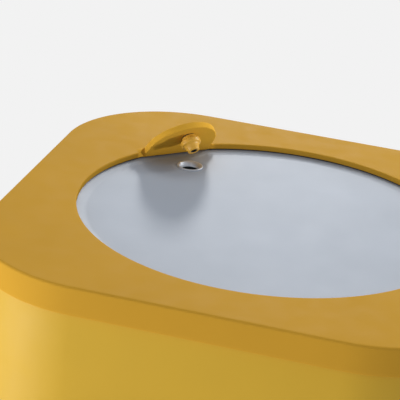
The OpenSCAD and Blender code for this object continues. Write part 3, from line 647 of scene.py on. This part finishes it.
def make_nozzle():
    """The nozzle on the hood's underside: collar, waist ring, taper, and a bore painted near-black as
    painted shade.
    """
    foot = on_hood(NOZZLE_AT, 0, 0)
    place = axes(foot, HOOD_X, -ACROSS, -HOOD_N)
    mm = [(5.2, -2.0), (5.2, 0.6), (5.9, 0.75), (6.0, 1.0), (6.0, 3.0), (6.3, 3.6), (7.0, 4.0)]
    mm += arc((7.6, 4.9), 0.9, -90, 0)
    mm += arc((7.6, 7.3), 0.9, 0, 80)
    mm += [(7.0, 8.4), (6.5, 8.9), (6.1, 9.6), (5.5, 11.2), (5.0, 12.7)]
    mm += arc((4.2, 13.1), 0.85, 10, 90)
    mm += [(3.2, 13.95), (2.7, 13.7), (2.5, 13.1), (2.5, 8.0), (1.5, 7.0), (1.5, 3.0), (0, 3.0)]
    shell = lathe([(r * MM, z * MM) for r, z in mm], place)
    nozzle = add_piece("nozzle", shell.verts, shell.faces, NOZZLE_COAT,
                       stands_for=("spout_nozzle",), sharp=50)
    nozzle.data.materials.append(PAINTED_BORE_SHADE)
    # Faces inside the bore take the near-black steel: painted shade for the dark of the deep hole.
    bore_r, bore_start = 2.6 * MM, 3 * MM
    for face in nozzle.data.polygons:
        out = (face.center - foot).dot(-HOOD_N)
        beside = (face.center - foot + HOOD_N * out).length
        if out > bore_start and beside < bore_r:
            face.material_index = 1
    return nozzle


# ---- Bowl and drain ----

DRAIN = AWAY * DRAIN_AT
COVE = 11 * MM
RECESS_R = 15 * MM
RECESS = 0.25 * MM


def bowl_height(x, y):
    """The bowl's floor with a soft cove at its edge and a faint recess round the drain."""
    reach = math.hypot(x, y)
    base = FLOOR_Z - (x * AWAY.x + y * AWAY.y) * math.tan(FLOOR_TILT)
    base -= RECESS * fade((RECESS_R - math.hypot(x - DRAIN.x, y - DRAIN.y)) / (2.5 * MM))
    rise = fade((reach - BOWL_R + COVE) / COVE)
    return base + (BOWL_TOP - base) * rise


def make_bowl():
    """The thin dish: a flange with a notch for the adapter, a cove, and a floor with its drain hole."""
    outer = []
    steps = 240
    notch_half, notch_w = math.radians(3.8), 3.8 * MM
    for i in range(steps):
        turn = 2 * math.pi * i / steps
        off = abs((turn - SPOUT + math.pi) % (2 * math.pi) - math.pi)
        reach = OPENING_R + (notch_w if off < notch_half else BOWL_FLANGE_W)
        outer.append(Vector((reach * math.cos(turn), reach * math.sin(turn), BOWL_TOP)))
    hole = [Vector((p.x, p.y, bowl_height(p.x, p.y)))
            for p in circle(DRAIN_STEM_R + 0.1 * MM, 0, 48, (DRAIN.x, DRAIN.y))]
    points = [Vector((0.3 * MM, 0.2 * MM, 0))]
    clear = 22 * MM
    rings = [circle(i * 12 * MM, 0, 12 + 8 * i) for i in range(1, 12)]
    rings += [circle(BOWL_R - COVE + COVE * i / 8, 0, 180) for i in range(9)]
    for ring in rings:
        points += [p for p in ring if (p - DRAIN).length > clear]
    for radius in (10, 11.5, 12.5, 13.2, 14, 14.8, 15.6, 17, 19.5):
        points += circle(radius * MM, 0, 48, (DRAIN.x, DRAIN.y))
    verts, faces = plan_fill(outer, [hole], points, bowl_height)
    bowl = add_piece("bowl_dish", verts, faces, BOWL_STEEL, stands_for=("bowl",))
    if bowl.data.polygons[0].normal.z < 0:
        bowl.data.flip_normals()
    thick = bowl.modifiers.new("thickness", "SOLIDIFY")
    thick.thickness = BOWL_T
    thick.offset = -1


def make_drain():
    """The drain's rounded ring, square to the floor, with its stem, and its throat painted near-black as
    painted shade.
    """
    down = math.tan(FLOOR_TILT) * DRAIN_AT
    x = AWAY * math.cos(FLOOR_TILT) - UP * math.sin(FLOOR_TILT)
    z = AWAY * math.sin(FLOOR_TILT) + UP * math.cos(FLOOR_TILT)
    place = axes(DRAIN + UP * (FLOOR_Z - down), x, z.cross(x), z)
    mm = [(8.8, -34), (8.8, -0.4), (11.0, -0.3), (11.0, 0.2)]
    mm += arc((10.4, 0.2), 0.6, 0, 90)
    mm += [(9.7, 0.75), (9.1, 0.45), (8.2, -0.5), (7.3, -1.8), (6.7, -3.0), (6.5, -4.2)]
    mm += [(6.5, -34), (8.8, -34)]
    shell = lathe([(r * MM, h * MM) for r, h in mm], place, 72)
    ring = add_piece("drain_ring", shell.verts, shell.faces, DRAIN_STEEL,
                     stands_for=("drain_fitting",), sharp=50)
    ring.data.materials.append(PAINTED_BORE_SHADE)
    # Faces deeper than 3.2 mm below the floor take the near-black steel: painted shade for the dark inside
    # the drain.
    painted_shade_below = FLOOR_Z - 3.2 * MM
    for face in ring.data.polygons:
        if face.center.z < painted_shade_below:
            face.material_index = 1


def make_button():
    """The button's cap, with a faint hollow and a rounded rim."""
    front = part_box("push_button")[0].y
    place = axes(Vector((0, front, BUTTON_Z)), Vector((1, 0, 0)), -UP, Vector((0, 1, 0)))
    mm = [(0, 1.1), (4, 1.05), (8, 0.9), (11, 0.65), (13.2, 0.3), (14.6, 0.05)]
    mm += arc((16.4, 1.6), 1.6, -90, 0)
    mm += [(18, 10), (0, 10)]
    shell = lathe([(r * MM, h * MM) for r, h in mm], place, 72)
    add_piece("button_cap", shell.verts, shell.faces, DRAIN_STEEL, "push_button",
              ("push_button",), 50)


def make_spring(steps=24, sides=8):
    """The return spring round the button's stem."""
    low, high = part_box("button_spring")
    length = high.y - low.y
    rise = length - 2 * SPRING_WIRE
    count = SPRING_TURNS * steps
    rows = []
    for i in range(count + 1):
        turn = 2 * math.pi * i / steps
        row = []
        for j in range(sides):
            round_wire = 2 * math.pi * j / sides
            r = high.x - SPRING_WIRE + SPRING_WIRE * math.cos(round_wire)
            y = low.y + SPRING_WIRE + rise * i / count + SPRING_WIRE * math.sin(round_wire)
            row.append(Vector((r * math.cos(turn), y, BUTTON_Z + r * math.sin(turn))))
        rows.append(row)
    shell = Shell()
    shell.strips(rows)
    shell.add(rows[0], [tuple(range(sides))])
    shell.add(rows[-1], [tuple(range(sides))])
    coil = add_piece("spring_coil", shell.verts, shell.faces, MATERIALS["stainless"],
                     stands_for=("button_spring",))
    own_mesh(coil)


# ---- Floor ----

def make_floor():
    """A pale floor that shows evenly to the camera, with a soft contact shade by the base."""
    tree = Tree("floor")
    tree.set("Base Color", (0.82, 0.82, 0.82, 1))
    tree.set("Roughness", 0.9)
    near = tree.add("ShaderNodeAmbientOcclusion", {"Distance": 0.35}, samples=8).outputs["AO"]
    shade = tree.spread(near, 0.45, BACKDROP, 0.2, 0.95)
    glow = tree.add("ShaderNodeEmission", {"Color": shade, "Strength": 1.0})
    path = tree.add("ShaderNodeLightPath").outputs["Is Camera Ray"]
    both = tree.add("ShaderNodeMixShader", {0: path})
    tree.tree.links.new(tree.shader.outputs[0], both.inputs[1])
    tree.tree.links.new(glow.outputs[0], both.inputs[2])
    output = tree.tree.nodes["Material Output"]
    tree.tree.links.new(both.outputs[0], output.inputs["Surface"])
    mesh = bpy.data.meshes.new("floor")
    half = 40
    mesh.from_pydata([(-half, -half, 0), (half, -half, 0), (half, half, 0), (-half, half, 0)], [],
                     [(0, 1, 2, 3)])
    mesh.materials.append(tree.material)
    obj = bpy.data.objects.new("floor", mesh)
    bpy.context.scene.collection.objects.link(obj)


# ---- Lights for the spout, and the shading of the CAD nodes ----

def group_of(name, pieces):
    group = bpy.data.collections.new(name)
    for piece in pieces:
        group.objects.link(piece)
    return group


def linked_lights(lid, hood, nozzle):
    """A low lamp that the lid's flat plate doesn't shade, and two small ones for the hood alone."""
    low = lamp("low_back_lamp", (-0.9, 4.75, LID_Z + 1.34), (0.6, 0.6), 106)
    clear = group_of("clear_of_low_lamp", (lid,))
    low.light_linking.blocker_collection = clear
    clear.collection_objects[0].light_linking.link_state = "EXCLUDE"
    spout = group_of("spout_lit", (hood, nozzle))
    right = lamp("spout_right_lamp", (1.3, 0.25, LID_Z + 0.02), (0.12, 0.12), 14)
    right.light_linking.receiver_collection = spout
    left = lamp("spout_left_lamp", (-1.2, -0.9, LID_Z + 0.02), (0.12, 0.12), 9)
    left.light_linking.receiver_collection = spout


def place_of(mesh, number):
    """A vertex's place, to the nearest thousandth of a millimetre."""
    return tuple(round(c, 6) for c in mesh.vertices[number].co)


def smooth_shading(mesh):
    """Shades across the seams that a CAD mesh is split at, and keeps its sharp edges."""
    limit = math.cos(math.radians(32))
    meeting = {}
    for face in mesh.polygons:
        for number in face.vertices:
            meeting.setdefault(place_of(mesh, number), []).append((face.normal.copy(), face.area))
    normals = []
    for face in mesh.polygons:
        for number in face.vertices:
            total = Vector((0, 0, 0))
            for normal, area in meeting[place_of(mesh, number)]:
                if normal.dot(face.normal) > limit:
                    total += normal * area
            normals.append(total.normalized())
    mesh.normals_split_custom_set(normals)


def dress_cad_nodes():
    """Each CAD node gets the material of its slot and smooth shading."""
    for name, node in NODES.items():
        node.data.materials.clear()
        node.data.materials.append(MATERIALS[SLOT_OF[name]])
        node.data.shade_smooth()
        smooth_shading(node.data)


camera()
lights()
dress_cad_nodes()
linked_lights(*make_lid(), make_nozzle())
make_bowl()
make_drain()
make_button()
make_spring()
make_floor()
